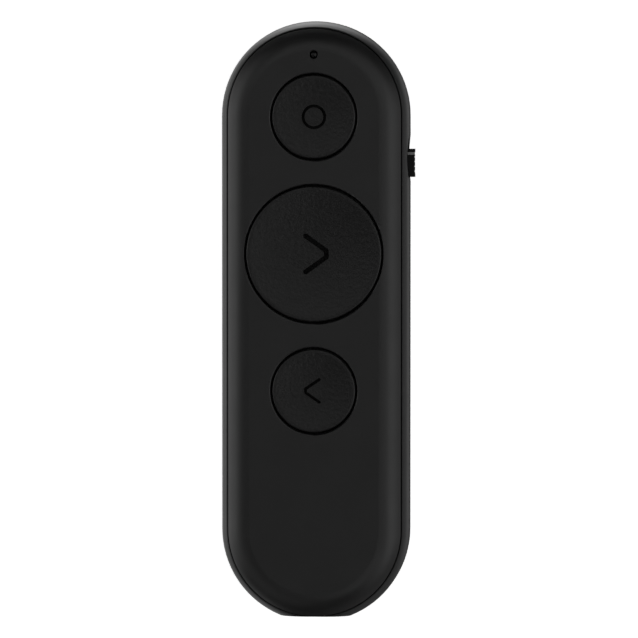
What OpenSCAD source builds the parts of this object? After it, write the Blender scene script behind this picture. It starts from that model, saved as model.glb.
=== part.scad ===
// Wireless presentation clicker: a slim hand-held remote with three round buttons,
// a side power switch, a pointer laser in the nose, one AAA cell and a stowed USB receiver.
// It lies on its back: +Z points out of the face, +Y to the nose, +X to the power switch.
// The origin is in the middle of the flat back. All sizes are in millimetres.

/* [Body] */
// Length of the case, from the nose tip to the full arc of the tail
body_l = 122.6; // [118:0.1:150]
// Width of the case
body_w = 38.3; // [37:0.1:48]
// Spare height between the battery's compartment and the board
spare_h = 0; // [0:0.1:6]
// Thickness of the moulded walls
wall = 1.6; // [1.3:0.1:1.9]
// Radius of the rounded edge round the face
top_edge_r = 6; // [5:0.1:7]
// Radius of the rounded edge round the back
back_edge_r = 8.5; // [7:0.1:9.5]
// Depth of the seam between the two covers below the face
seam_drop = 2; // [1.9:0.1:2.4]
// Height of the shadow gap that the seam leaves
seam_gap = 0.4; // [0.2:0.05:0.6]
// Depth of the flat that cuts the tail's arc
tail_flat = 1.4; // [0:0.1:1.6]

/* [Buttons] */
// Diameter of the large forward button
next_d = 27.5; // [22:0.1:28]
// Diameter of the small pointer and back buttons
small_d = 16.9; // [13:0.1:18]
// Gap between a button and the edge of its hole
button_gap = 0.4; // [0.2:0.05:0.6]
// Distance between the centres of neighbouring buttons
button_pitch = 27.8; // [27:0.1:32]
// Distance from the nose tip to the pointer button's centre
pointer_from_nose = 19.4; // [19:0.1:24]
// Travel of a button
button_travel = 0.35; // [0.2:0.05:0.35]
// Thickness of a button's plate at its rim
cap_t = 1.9; // [1.8:0.1:2.6]
// Depth of the hollow in the large button's face
next_dish = 0.6; // [0.2:0.05:0.7]
// Depth of the hollow in a small button's face
small_dish = 0.3; // [0.1:0.05:0.5]
// Diameter of the status light's hole
light_d = 1.7; // [1.2:0.1:2.4]
// Distance from the nose tip to the status light
light_from_nose = 6.8; // [6.4:0.1:7.4]

/* [Symbols] */
// Depth of the engraved symbols below the hollow
mark_depth = 0.7; // [0.2:0.05:0.8]
// Radius of the ring on the pointer button, to the middle of its line
ring_r = 2.2; // [1.4:0.1:3]
// Width of the ring's line
ring_stroke = 0.6; // [0.4:0.05:0.9]
// Width of the arrow on the large button
next_mark_w = 5.2; // [3:0.1:8]
// Height of the arrow on the large button
next_mark_h = 8.3; // [5:0.1:12]
// Width of that arrow's line
next_stroke = 1; // [0.5:0.05:1.4]
// Width of the arrow on the back button
back_mark_w = 3.4; // [2:0.1:5]
// Height of the arrow on the back button
back_mark_h = 5.2; // [3:0.1:7]
// Width of that arrow's line
back_stroke = 0.6; // [0.4:0.05:0.9]

/* [Power switch] */
// Distance from the nose tip to the middle of the switch's travel
switch_from_nose = 27.8; // [26:0.1:30]
// Travel of the switch
switch_travel = 2; // [1.4:0.1:2.4]
// Length of the sliding knob
knob_l = 5.7; // [4.5:0.1:6.5]
// Height of the sliding knob
knob_h = 3.4; // [2.6:0.1:3.6]
// How far the knob stands out of the side
knob_out = 1; // [0.6:0.1:1.6]
// Distance from one fine rib of the knob to the next
knob_rib_pitch = 0.9; // [0.5:0.05:1.2]

/* [Battery] */
// Diameter of the cell
battery_d = 10.5; // [8:0.1:14]
// Length of the cell with its positive nub
battery_l = 44.5; // [40:0.5:54]
// Thickness of the battery door
door_t = 1.35; // [1.1:0.05:1.6]

/* [Receiver] */
// Width of the receiver's housing
receiver_w = 14.4; // [13.4:0.1:16]
// Thickness of the receiver's housing
receiver_h = 6.1; // [5.6:0.1:6.6]
// Whole length of the receiver with its plug
receiver_l = 18.9; // [17.5:0.1:22]

/* [Laser] */
// Diameter of the laser's barrel
laser_d = 6.4; // [5.8:0.1:7]
// Length of the laser's barrel
laser_l = 13; // [10:0.5:15]
// Diameter of the hole in the nose that the beam leaves by
aperture_d = 3.6; // [2:0.1:4]

/* [Board] */
// Thickness of the printed circuit board
pcb_t = 1; // [0.8:0.1:1.2]
// Height of a button switch without its plunger
key_switch_h = 1; // [0.95:0.05:1.4]
// Side of a button switch
key_switch_w = 5.2; // [4.5:0.1:6]

/* [Hidden] */
$fn = 96;
eps = 0.01;

// Small clearances that the fits share
fit_gap = 0.1;      // round a piece that is only placed
slide_gap = 0.2;    // round a piece that slides or lifts out
screw_play = 0.02;  // between a screw and the hole that it cuts its thread in

// Depths that cuts and joints share
over = 1;           // how far a cutting shape reaches past what it cuts
bite = 0.3;         // how deep a rib or post runs into the wall that it stands on
skin = 0.4;         // how far the inner walls stay inside the case's outside

// Heights, counted up from the back
door_recess = door_t + 0.15;
ledge_t = 1.2;
ledge_w = 1.4;
battery_play = 0.2;
battery_z = door_recess + 2 * battery_play + battery_d / 2;
room_top = battery_z + battery_d / 2 + battery_play;
ceiling_t = 0.7;
board_z = room_top + ceiling_t + battery_play + spare_h;
board_top = board_z + pcb_t;
plunger_rise = 0.6;
cap_under = board_top + key_switch_h + plunger_rise;
body_h = cap_under + cap_t;
face_in = body_h - wall;
seam_top = body_h - seam_drop;
seam_low = seam_top - seam_gap;
seam_chamfer = 0.08;
rim_flat = 0.05;
groove_w = 0.5;

// Plan
half_w = body_w / 2;
arc_y = body_l / 2 - half_w;
nose_y = body_l / 2;
tail_y = -body_l / 2 + tail_flat;
top_arc_x = half_w - top_edge_r;
top_arc_z = body_h - top_edge_r;
side_in = half_w - wall;

// Half width of the case's outside at a height near the seam
function outside_x(z) = top_arc_x + sqrt(pow(top_edge_r, 2) - pow(z - top_arc_z, 2));

// Half width of the case's inside at a height near the seam
function inside_x(z) = top_arc_x + sqrt(pow(top_edge_r - wall, 2) - pow(z - top_arc_z, 2));

// Lip of the top cover, which stands inside the bottom cover's rim
lip_gap = 0.25;
lip_t = 0.9;
lip_drop = 1.6;
lip_x = inside_x(seam_low) - lip_gap;
lip_low = seam_top - lip_drop;
hook_l = 5;
catch_l = hook_l + 2;
hook_h = 0.45;
hook_reach = 0.45;
notch_spare = 0.6;
hook_y = [arc_y - 2, -arc_y + 2, -arc_y / 2 - 3];

// Buttons
pointer_y = nose_y - pointer_from_nose;
next_y = pointer_y - button_pitch;
back_y = next_y - button_pitch;
flange_w = 0.8;
flange_low = cap_under - plunger_rise;
lug_w = 3;
lug_l = 1.4;
rib_w = 1;
rim_round = 0.3;
hole_round = 0.25;
skirt_t = 1.6;
dish_rim = 0.7;
next_mark_x = 0.4;
back_mark_x = 0.3;

// Board
board_x = lip_x - lip_t - 0.45;
board_screw_x = board_x - 1.9;
board_screw_y = [next_y + 11.9, back_y - 6.4];
board_tail = back_y - 10;
board_screw_r = 0.8;
board_boss_r = 1.7;
board_head_r = 1.4;
board_head_h = 0.9;
board_screw_l = 3.2;
screw_top_wall = 1.2;

// Status light
light_y = nose_y - light_from_nose;
pipe_flange_r = light_d / 2 + 0.65;
pipe_flange_t = 0.5;
pipe_low = board_top + 0.75;
pipe_top = body_h - 0.15;
light_round = 0.12;
pipe_ball_r = light_d * 0.6;

// Receiver and its bay
plug_w = 12;
plug_h = 4.5;
plug_l = 12;
plug_t = 0.3;
plug_root = 2;
tongue_h = 1.9;
receiver_board_w = 10;
receiver_board_t = 0.8;
receiver_room = 2.8;
receiver_chip = [3, 0.7];
thumb_pitch = 1.3;
thumb_w = 9;
thumb_r = 0.3;
window_x = 2.85;
window_w = 2.5;
window_l = 2.2;
window_from_end = 5;
contact_w = 1;
contact_x = [-3.5, -1, 1, 3.5];
contact_end = 1.2;
contact_foil = 0.15;
outer_contact_l = 7.4;
inner_contact_l = 6.4;
bay_wall = 1;
bay_x = receiver_w / 2 + slide_gap;
bay_h = receiver_h + 2 * fit_gap;
notch_r = 7;
notch_depth = 3.4;
receiver_z = 5.9 + receiver_h / 2;
bay_end = tail_y + receiver_l + 0.3;
housing_l = receiver_l - plug_l;
plug_back = tail_y + housing_l - plug_root;

// Battery compartment
contact_t = 0.4;
nub_l = 1;
nub_r = 1.9;
jacket_t = 0.15;
spring_l = 2.9;
room_tail = bay_end + bay_wall;
room_nose = room_tail + battery_l + spring_l + 2 * contact_t;
room_x = battery_d / 2 + 0.35;
room_wall = 0.9;
cell_tail = room_tail + contact_t + spring_l;
cell_nose = cell_tail + battery_l - nub_l;
tongue_x = room_x - 0.2;
tongue_spare = 2;

// Battery door
door_tail = room_tail - 1.8;
door_nose = room_nose + 4.6;
door_r = 1.5;
hook_w = 2.6;
hook_x = room_x + room_wall + hook_w / 2 + slide_gap;
door_w = 2 * (hook_x + hook_w / 2 + door_r);
hook_out = 1.7;
hook_t = 0.9;
hook_base = 1.2;
hook_top = door_recess + 0.2 + hook_t;
hook_swing = sqrt(pow(hook_base, 2) + pow(hook_top, 2));
latch_w = 8;
latch_leg = 0.9;
latch_bend = 1;
latch_l = 2 * latch_leg + latch_bend;
latch_rise = 4.8;
latch_slit = 0.4;
finger_r = 4.4;
finger_dip = 0.8;
finger_ahead = 1;
grip_grooves = 4;
grip_pitch = 2;
grip_r = 0.45;
rest_t = 1.2;
rest_rise = 0.8;
rest_x = room_x - 0.4;

// Screws that hold the covers together
case_screw_r = 1;
case_head_r = 1.8;
case_head_h = 1.3;
case_thread_l = 3;
case_screw_x = room_x + room_wall + 2.3;
case_screw_y = room_tail + 7;
pillar_r = 2.35;
post_r = 2.15;
case_head_z = door_recess + case_head_h + 0.2;
pillar_top = board_z - 1.5;
case_screw_l = pillar_top + case_thread_l - case_head_z;

// Power switch
switch_y = nose_y - switch_from_nose;
knob_y = switch_y - switch_travel / 2;
knob_ridge = 0.65;
knob_notch = 0.55;
knob_notch_in = 0.1;
knob_step = 0.05;
knob_groove_r = 0.12;
can_w = 4;
can_l = 8.6;
can_t = 0.3;
can_h = 3.6;
switch_base_h = 0.8;
switch_pins = [-2.5, 0, 2.5];
pin_r = 0.3;
pin_rise = 0.3;
can_x = board_x - 0.1 - can_w;
can_z = board_z - switch_base_h - can_h;
knob_z = can_z + 1.5;
stick_w = 1.2;
neck_w = 2;
pocket_x = half_w - 0.75;
scoop_depth = 0.43;
scoop_l = 9.8;
scoop_r = (pow(scoop_l / 2, 2) + pow(scoop_depth, 2)) / (2 * scoop_depth);

// Laser
laser_z = (back_edge_r + top_arc_z) / 2 - 0.65;
laser_front = nose_y - wall - 0.2;
laser_back = laser_front - laser_l;
laser_bore_r = laser_d / 2 - 0.6;
lead_r = 0.22;
lead_x = 1.27;
lead_run = 1.6;
cradle_t = 1.2;
cradle_in = 2.1;
flare = 1;

// ---------------------------------------------------------------- shared shapes

// Right half of the case's cross-section, pulled in by inset, with both edges as true arcs
module half_section(inset) {
    square_to(half_w - inset, back_edge_r, top_arc_z);
    square_to(top_arc_x, back_edge_r, body_h - inset);
    square_to(half_w - back_edge_r, inset, top_arc_z);
    edge_quarter(top_arc_x, top_arc_z, top_edge_r - inset, 1);
    edge_quarter(half_w - back_edge_r, back_edge_r, back_edge_r - inset, -1);
}

module square_to(x, z0, z1) {
    translate([0, z0]) square([x, z1 - z0]);
}

module edge_quarter(x, z, r, up) {
    translate([x, z])
        intersection() {
            circle(r);
            translate([0, up > 0 ? 0 : -2 * r]) square([2 * r, 2 * r]);
        }
}

// Solid with the case's outside form, pulled in all round by inset and at the tail by short as well
module case_form(inset, short) {
    translate([0, arc_y, 0])
        rotate([90, 0, 0])
            linear_extrude(2 * arc_y - short) {
                half_section(inset);
                mirror([1, 0]) half_section(inset);
            }
    translate([0, arc_y, 0]) rotate_extrude(angle = 180) half_section(inset);
    translate([0, short - arc_y, 0]) rotate([0, 0, 180]) rotate_extrude(angle = 180) half_section(inset);
}

// Solid inside the case, which stands back from the tail's flat too
module case_inside(inset) {
    case_form(inset, tail_flat);
}

// Everything ahead of the tail's flat, between two heights
module case_slab(z0, z1) {
    translate([-body_w, tail_y, z0]) cube([2 * body_w, body_l, z1 - z0]);
}

module case_outside(z0, z1) {
    intersection() {
        case_form(0, 0);
        case_slab(z0, z1);
    }
}

// Band that runs once round the case, with the outline that its child has to the right of the arcs' centres
module case_band() {
    for (end = [0, 180])
        rotate([0, 0, end]) {
            rotate([90, 0, 0]) linear_extrude(2 * arc_y, center = true) children();
            translate([0, arc_y, 0]) rotate_extrude(angle = 180) children();
        }
}

// Outline of the bevel that breaks the edge of a cover at the seam; up is 1 on the top cover and -1 below
module seam_bevel(z, up) {
    x = outside_x(z);
    translate([x, z])
        polygon([[-seam_chamfer, 0], [-seam_chamfer, -up * 0.2], [1, -up * 0.2], [1, up * seam_chamfer * 3],
                 [0, up * seam_chamfer]]);
}

// Outline of the groove inside the bottom cover's rim, whose sloped floor keeps the seam dark from above
module seam_groove() {
    translate([outside_x(seam_low) - seam_chamfer - rim_flat, seam_low])
        polygon([[0, 0], [-groove_w, -groove_w], [-groove_w, over], [0, over]]);
}

// Flat plate with half-round ends, x wide each side, with arcs centred on those of the case's inside
module stadium_plate(x, z0, z1) {
    translate([0, 0, z0]) {
        translate([-x, tail_flat - arc_y, 0]) cube([2 * x, 2 * arc_y - tail_flat, z1 - z0]);
        for (y = [tail_flat - arc_y, arc_y])
            translate([0, y, 0]) cylinder(r = x, h = z1 - z0);
    }
}

// Box between two corners
module box(from, to) {
    translate(from) cube(to - from);
}

// Upright plate with rounded corners, between two corners
module rounded_box(from, to, r) {
    box([from.x + r, from.y, from.z], [to.x - r, to.y, to.z]);
    box([from.x, from.y + r, from.z], [to.x, to.y - r, to.z]);
    for (x = [from.x + r, to.x - r], y = [from.y + r, to.y - r])
        translate([x, y, from.z]) cylinder(r = r, h = to.z - from.z);
}

// Rod along Z from z0 to z1
module rod(x, y, z0, z1, r) {
    translate([x, y, z0]) cylinder(r = r, h = z1 - z0);
}

// Rod along Y from y0 to y1
module rod_y(x, z, y0, y1, r) {
    translate([x, y0, z]) rotate([-90, 0, 0]) cylinder(r = r, h = y1 - y0);
}

// Pan-head screw that points up, with its head's bearing face at z = 0 and a cross recess
module screw(r, length, head_r, head_h) {
    difference() {
        union() {
            cylinder(r = r, h = length);
            translate([0, 0, -head_h]) cylinder(r = head_r, h = head_h);
        }
        for (turn = [0, 90])
            rotate([0, 0, turn])
                translate([-head_r * 0.6, -r * 0.2, -head_h - eps])
                    cube([head_r * 1.2, r * 0.4, head_h * 0.6]);
    }
}

// Line from one point to another with round ends
module stroke_line(from, to, width) {
    run = to - from;
    translate(from)
        rotate(atan2(run.y, run.x))
            translate([0, -width / 2]) square([norm(run), width]);
    translate(from) circle(width / 2);
    translate(to) circle(width / 2);
}

// Arrow that points along +X, w wide and h high outside: two legs that meet in a short upright
module chevron(w, h, stroke) {
    x = (w - stroke) / 2;
    y = (h - stroke) / 2;
    tip = stroke * 0.65;
    for (side = [-1, 1])
        stroke_line([-x, side * y], [x, side * tip], stroke);
    stroke_line([x, -tip], [x, tip], stroke);
}

// ---------------------------------------------------------------- covers

// Hole through the face, with a rounded edge
module face_hole(y, r, edge) {
    rod(0, y, face_in - over, body_h, r);
    translate([0, y, body_h - edge])
        rotate_extrude()
            difference() {
                square([r + edge, 2 * edge]);
                translate([r + edge, 0]) circle(edge);
            }
}

// Room under the face for a button's flange
module flange_pocket(y, d) {
    rod(0, y, flange_low - button_travel - slide_gap, face_in, d / 2 + button_gap + flange_w + slide_gap);
}

// Break in the lip on both sides of the large button, where its flange reaches the lip
module lip_notch() {
    reach = next_d / 2 + button_gap + flange_w + slide_gap;
    lip_in = lip_x - lip_t;
    if (reach > lip_in) {
        half = sqrt(pow(reach, 2) - pow(lip_in, 2)) + notch_spare;
        translate([-half_w, next_y - half, lip_low - over])
            cube([body_w, 2 * half, face_in - lip_low + 2 * over]);
    }
}

// Two ribs that keep a button's lug, and so its symbol, from turning
module lug_guide(y, d) {
    root = d / 2 + button_gap + flange_w + slide_gap;
    for (side = [-1, 1])
        translate([side * (lug_w / 2 + slide_gap + rib_w / 2) - rib_w / 2, y - root - lug_l, flange_low])
            cube([rib_w, lug_l, face_in - flange_low + bite]);
}

module board_boss(x, y) {
    rod(x, y, board_top, face_in + bite, board_boss_r);
}

// Hook on the lip of the top cover, and the bar of the bottom cover that it snaps under
module snap_hook(side, y) {
    x0 = side > 0 ? lip_x - lip_t / 2 : -lip_x - hook_reach;
    translate([x0, y - hook_l / 2, lip_low])
        cube([lip_t / 2 + hook_reach, hook_l, hook_h]);
}

module snap_catch(side, y) {
    x0 = side > 0 ? lip_x + fit_gap : -half_w;
    translate([x0, y - catch_l / 2, lip_low + hook_h + fit_gap])
        cube([half_w - lip_x - fit_gap, catch_l, seam_low - lip_low - hook_h - fit_gap]);
}

module top_shell() {
    color("#232323")
        difference() {
            union() {
                difference() {
                    case_outside(seam_top, body_h);
                    case_inside(wall);
                }
                difference() {
                    stadium_plate(lip_x, lip_low, face_in);
                    stadium_plate(lip_x - lip_t, lip_low - over, face_in + over);
                    lip_notch();
                }
                for (side = [-1, 1], y = hook_y)
                    snap_hook(side, y);
                for (side = [-1, 1], y = board_screw_y)
                    board_boss(side * board_screw_x, y);
                for (side = [-1, 1])
                    rod(side * case_screw_x, case_screw_y, pillar_top, face_in + bite, post_r);
                lug_guide(pointer_y, small_d);
                lug_guide(next_y, next_d);
                lug_guide(back_y, small_d);
            }
            case_band() seam_bevel(seam_top, 1);
            face_hole(pointer_y, small_d / 2 + button_gap, hole_round);
            face_hole(next_y, next_d / 2 + button_gap, hole_round);
            face_hole(back_y, small_d / 2 + button_gap, hole_round);
            flange_pocket(next_y, next_d);
            face_hole(light_y, light_d / 2, light_round);
            rod(0, light_y, lip_low, face_in, pipe_flange_r + fit_gap);
            for (side = [-1, 1], y = board_screw_y)
                rod(side * board_screw_x, y, board_top - over, body_h - screw_top_wall,
                    board_screw_r + screw_play);
            for (side = [-1, 1])
                rod(side * case_screw_x, case_screw_y, pillar_top - over, face_in, case_screw_r + screw_play);
        }
}

// Walls and ceiling of the battery's room, the ledge that the door closes on and the receiver's bay
module compartments() {
    box([-room_x - room_wall, room_tail - eps, wall / 2],
        [room_x + room_wall, room_nose + room_wall, room_top + ceiling_t]);
    rounded_box([-door_w / 2 - ledge_w, door_tail - ledge_w, door_recess],
                [door_w / 2 + ledge_w, door_nose + ledge_w, door_recess + ledge_t], door_r);
    intersection() {
        case_inside(skin);
        box([-bay_x - bay_wall, -nose_y, receiver_z - bay_h / 2 - bay_wall],
            [bay_x + bay_wall, room_tail, receiver_z + bay_h / 2 + bay_wall]);
    }
}

module receiver_bay() {
    box([-bay_x, -nose_y - over, receiver_z - bay_h / 2],
        [bay_x, tail_y + housing_l + fit_gap, receiver_z + bay_h / 2]);
    box([-plug_w / 2 - slide_gap, tail_y, receiver_z - plug_h / 2 - slide_gap],
        [plug_w / 2 + slide_gap, bay_end, receiver_z + plug_h / 2 + slide_gap]);
}

// Notch in the back under the receiver, for a fingernail, and the wall behind it
module nail_notch() {
    rod(0, tail_y - notch_r + notch_depth, -over, receiver_z - receiver_h / 2, notch_r);
}

module nail_wall() {
    intersection() {
        case_inside(skin);
        rod(0, tail_y - notch_r + notch_depth, wall / 2, receiver_z - receiver_h / 2, notch_r + bay_wall);
    }
}

module door_opening() {
    gap = slide_gap;
    rounded_box([-door_w / 2 - gap, door_tail - gap, -over],
                [door_w / 2 + gap, door_nose + gap, door_recess], door_r + gap);
    box([-room_x, room_tail, -over], [room_x, room_nose, room_top]);
    for (side = [-1, 1])
        translate([side * hook_x - hook_w / 2 - gap, door_tail - hook_out - gap, door_recess - eps])
            cube([hook_w + 2 * gap, hook_out + hook_swing + 2 * gap, hook_swing + hook_t]);
    box([-latch_w / 2 - gap, door_nose - latch_l - gap, -over],
        [latch_w / 2 + gap, door_nose + gap, latch_rise + 2 * gap]);
    rod_x(door_nose + finger_ahead, finger_dip - finger_r, latch_w, finger_r);
}

// Slots in the ceiling that the battery contacts' tabs pass through
module contact_slots() {
    for (y = [room_tail, room_nose - contact_t])
        box([-tab_w / 2 - fit_gap, y - fit_gap, room_top - over],
            [tab_w / 2 + fit_gap, y + contact_t + fit_gap, room_top + ceiling_t + over]);
}

module laser_cradle() {
    intersection() {
        case_inside(skin);
        for (y = [laser_back + cradle_in, laser_front - cradle_in - cradle_t])
            box([-laser_d / 2 - cradle_t, y, wall / 2], [laser_d / 2 + cradle_t, y + cradle_t, laser_z]);
    }
}

module power_knob_opening() {
    translate([half_w - scoop_depth + scoop_r, switch_y, -over]) cylinder(r = scoop_r, h = body_h, $fn = 360);
    reach = (knob_l + switch_travel) / 2 + slide_gap;
    box([pocket_x, switch_y - reach, knob_z - knob_h / 2 - slide_gap],
        [half_w + over, switch_y + reach, knob_z + knob_h / 2 + slide_gap]);
    slot = (neck_w + switch_travel) / 2 + slide_gap;
    box([side_in - over, switch_y - slot, knob_z - neck_w / 2 - slide_gap],
        [half_w, switch_y + slot, knob_z + neck_w / 2 + slide_gap]);
}

module bottom_shell() {
    color("#262626")
        difference() {
            union() {
                difference() {
                    case_outside(0, seam_low);
                    case_inside(wall);
                }
                compartments();
                nail_wall();
                laser_cradle();
                intersection() {
                    case_inside(skin);
                    for (side = [-1, 1], y = hook_y)
                        snap_catch(side, y);
                }
                for (side = [-1, 1])
                    rod(side * case_screw_x, case_screw_y, door_recess, pillar_top, pillar_r);
            }
            case_band() seam_bevel(seam_low, -1);
            case_band() seam_groove();
            receiver_bay();
            nail_notch();
            door_opening();
            contact_slots();
            power_knob_opening();
            rod_y(0, laser_z, laser_back - over, laser_front + fit_gap, laser_d / 2 + fit_gap / 2);
            rod_y(0, laser_z, laser_front - over, nose_y + over, aperture_d / 2);
            translate([0, nose_y - flare / 2, laser_z]) rotate([-90, 0, 0])
                cylinder(r1 = aperture_d / 2, r2 = aperture_d / 2 + flare, h = flare);
            for (side = [-1, 1]) {
                rod(side * case_screw_x, case_screw_y, 0, pillar_top + over, case_screw_r + fit_gap);
                rod(side * case_screw_x, case_screw_y, 0, case_head_z, case_head_r + fit_gap);
            }
        }
}

module case_screws() {
    color("silver")
        for (side = [-1, 1])
            translate([side * case_screw_x, case_screw_y, case_head_z])
                screw(case_screw_r, case_screw_l, case_head_r, case_head_h);
}

// ---------------------------------------------------------------- buttons

// Right half of a button's section above its flange's underside, with a rounded rim
module button_half(r) {
    translate([0, flange_low]) square([r, body_h - rim_round - flange_low]);
    translate([0, flange_low]) square([r - rim_round, body_h - flange_low]);
    translate([r - rim_round, body_h - rim_round])
        intersection() {
            circle(rim_round);
            square(rim_round);
        }
}

// Round cap with a hollowed face, a flange under the cover and a lug against turning
module button_cap(y, d, dish) {
    r = d / 2;
    flange_r = r + button_gap + flange_w;
    dish_r = r - dish_rim;
    ball_r = (dish_r * dish_r + dish * dish) / (2 * dish);
    translate([0, y, 0])
        difference() {
            union() {
                rotate_extrude() button_half(r);
                rod(0, 0, flange_low, face_in, flange_r);
                box([-lug_w / 2, -flange_r - lug_l, flange_low], [lug_w / 2, 0, face_in]);
            }
            rod(0, 0, flange_low - over, cap_under, r - skirt_t);
            translate([0, 0, body_h - dish + ball_r]) sphere(ball_r, $fn = 200);
        }
}

module engraving(y, dish) {
    translate([0, y, body_h - dish - mark_depth])
        linear_extrude(dish + mark_depth + over) children();
}

module pointer_button() {
    color("#202020")
        difference() {
            button_cap(pointer_y, small_d, small_dish);
            engraving(pointer_y, small_dish)
                difference() {
                    circle(ring_r + ring_stroke / 2);
                    circle(ring_r - ring_stroke / 2);
                }
        }
}

module next_button() {
    color("#202020")
        difference() {
            button_cap(next_y, next_d, next_dish);
            engraving(next_y, next_dish)
                translate([next_mark_x, 0]) chevron(next_mark_w, next_mark_h, next_stroke);
        }
}

module back_button() {
    color("#202020")
        difference() {
            button_cap(back_y, small_d, small_dish);
            engraving(back_y, small_dish)
                mirror([1, 0]) translate([back_mark_x, 0]) chevron(back_mark_w, back_mark_h, back_stroke);
        }
}

// ---------------------------------------------------------------- button switches

cover_t = 0.15;
cover_leg = 0.6;
cover_leg_y = 1.5;
key_floor_t = 0.1;
plunger_r = 1.2;
plunger_foot_r = 1.6;
plunger_foot_h = 0.25;
plunger_low = board_top + button_travel + key_floor_t + 0.05;

module key_base(y) {
    half = key_switch_w / 2;
    color("#1a1a1a")
        difference() {
            box([-half, y - half, board_top], [half, y + half, board_top + key_switch_h - cover_t]);
            rod(0, y, board_top + key_floor_t, board_top + key_switch_h, plunger_foot_r + fit_gap);
        }
}

module key_cover(y) {
    half = key_switch_w / 2;
    color("silver") {
        difference() {
            box([-half, y - half, board_top + key_switch_h - cover_t],
                [half, y + half, board_top + key_switch_h]);
            rod(0, y, board_top, cap_under, plunger_r + fit_gap);
        }
        for (side = [-1, 1], dy = [-cover_leg_y, cover_leg_y])
            box([side > 0 ? half : -half - cover_t, y + dy - cover_leg / 2, board_top],
                [side > 0 ? half + cover_t : -half, y + dy + cover_leg / 2, board_top + key_switch_h]);
    }
}

module key_plunger(y) {
    color("#d8d8d0") {
        rod(0, y, plunger_low, cap_under, plunger_r);
        rod(0, y, plunger_low, plunger_low + plunger_foot_h, plunger_foot_r);
    }
}

// ---------------------------------------------------------------- power switch

// Plan of the knob: an end ridge at each end, a notch behind the front one, and fine ribs between
module knob_plan(stand) {
    out = half_w + knob_out;
    ribs_l = knob_l - 2 * knob_ridge - knob_notch;
    ribs_low = -knob_l / 2 + knob_ridge;
    ribs = floor(ribs_l / knob_rib_pitch);
    difference() {
        translate([stand, -knob_l / 2]) square([out - stand, knob_l]);
        translate([out - knob_step, ribs_low]) square([over, ribs_l + knob_notch]);
        translate([out, knob_l / 2 - knob_ridge])
            polygon([[0, 0], [-knob_notch_in, -knob_notch / 2], [0, -knob_notch]]);
        for (i = [1:ribs])
            translate([out - knob_step, ribs_low + (i - 0.5) * ribs_l / ribs]) circle(knob_groove_r);
    }
}

module power_knob() {
    stand = pocket_x + fit_gap;
    bore = stick_w / 2 + screw_play;
    color("#0c0c0c")
        difference() {
            union() {
                translate([0, knob_y, knob_z - knob_h / 2]) linear_extrude(knob_h) knob_plan(stand);
                box([stick_end - socket_l, knob_y - neck_w / 2, knob_z - neck_w / 2],
                    [stand + eps, knob_y + neck_w / 2, knob_z + neck_w / 2]);
            }
            box([stick_end - socket_l - over, knob_y - bore, knob_z - bore],
                [stick_end, knob_y + bore, knob_z + bore]);
        }
}

stick_end = side_in - 0.7;
socket_l = 1.5;
slider_l = 3;
slider_h = 2;

module power_switch_lever() {
    color("#e0ddd2") {
        box([can_x + can_t + fit_gap, knob_y - slider_l / 2, knob_z - slider_h / 2],
            [can_x + can_w - can_t - fit_gap, knob_y + slider_l / 2, knob_z + slider_h / 2]);
        box([can_x + can_w / 2, knob_y - stick_w / 2, knob_z - stick_w / 2],
            [stick_end - screw_play, knob_y + stick_w / 2, knob_z + stick_w / 2]);
    }
}

module power_switch_can() {
    slot = (stick_w + switch_travel) / 2 + slide_gap;
    color("silver")
        difference() {
            box([can_x, switch_y - can_l / 2, can_z], [can_x + can_w, switch_y + can_l / 2, can_z + can_h]);
            box([can_x + can_t, switch_y - can_l / 2 + can_t, can_z + can_t],
                [can_x + can_w - can_t, switch_y + can_l / 2 - can_t, can_z + can_h + over]);
            box([can_x + can_w - over, switch_y - slot, knob_z - stick_w / 2 - fit_gap],
                [can_x + can_w + over, switch_y + slot, knob_z + stick_w / 2 + fit_gap]);
        }
}

// Insulating base of the power switch, with its three pins
module power_switch_base() {
    color("#1a1a1a")
        box([can_x, switch_y - can_l / 2, board_z - switch_base_h],
            [can_x + can_w, switch_y + can_l / 2, board_z]);
    color("gold")
        for (dy = switch_pins)
            rod(can_x + can_w / 2, switch_y + dy, board_z - eps, board_top + pin_rise, pin_r);
}

// ---------------------------------------------------------------- board

tab_w = 2.6;
tab_rise = 0.4;

// A contact's tab ends flush with the board where a button switch sits on it
function tab_top(y) =
    let (nearest = min([for (key_y = [pointer_y, next_y, back_y]) abs(key_y - y)]))
        nearest > key_switch_w / 2 + contact_t + fit_gap ? board_top + tab_rise : board_top;

module circuit_board() {
    color("#14503a")
        difference() {
            union() {
                rod(0, arc_y, board_z, board_top, board_x);
                box([-board_x, board_tail, board_z], [board_x, arc_y, board_top]);
                box([-tongue_x, room_tail - tongue_spare, board_z], [tongue_x, board_tail + eps, board_top]);
            }
            for (side = [-1, 1], y = board_screw_y)
                rod(side * board_screw_x, y, board_z - over, board_top + over, board_screw_r + fit_gap);
            for (y = [room_tail, room_nose - contact_t])
                box([-tab_w / 2 - fit_gap, y - fit_gap, board_z - over],
                    [tab_w / 2 + fit_gap, y + contact_t + fit_gap, board_top + over]);
            for (dy = switch_pins)
                rod(can_x + can_w / 2, switch_y + dy, board_z - over, board_top + over, pin_r + fit_gap / 2);
        }
}

module board_screws() {
    color("silver")
        for (side = [-1, 1], y = board_screw_y)
            translate([side * board_screw_x, y, board_z])
                screw(board_screw_r, board_screw_l, board_head_r, board_head_h);
}

// Flat component under the board, with its middle at a place and its width, length and height in size
module under_board(x, y, size) {
    box([x - size.x / 2, y - size.y / 2, board_z - size.z], [x + size.x / 2, y + size.y / 2, board_z]);
}

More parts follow.
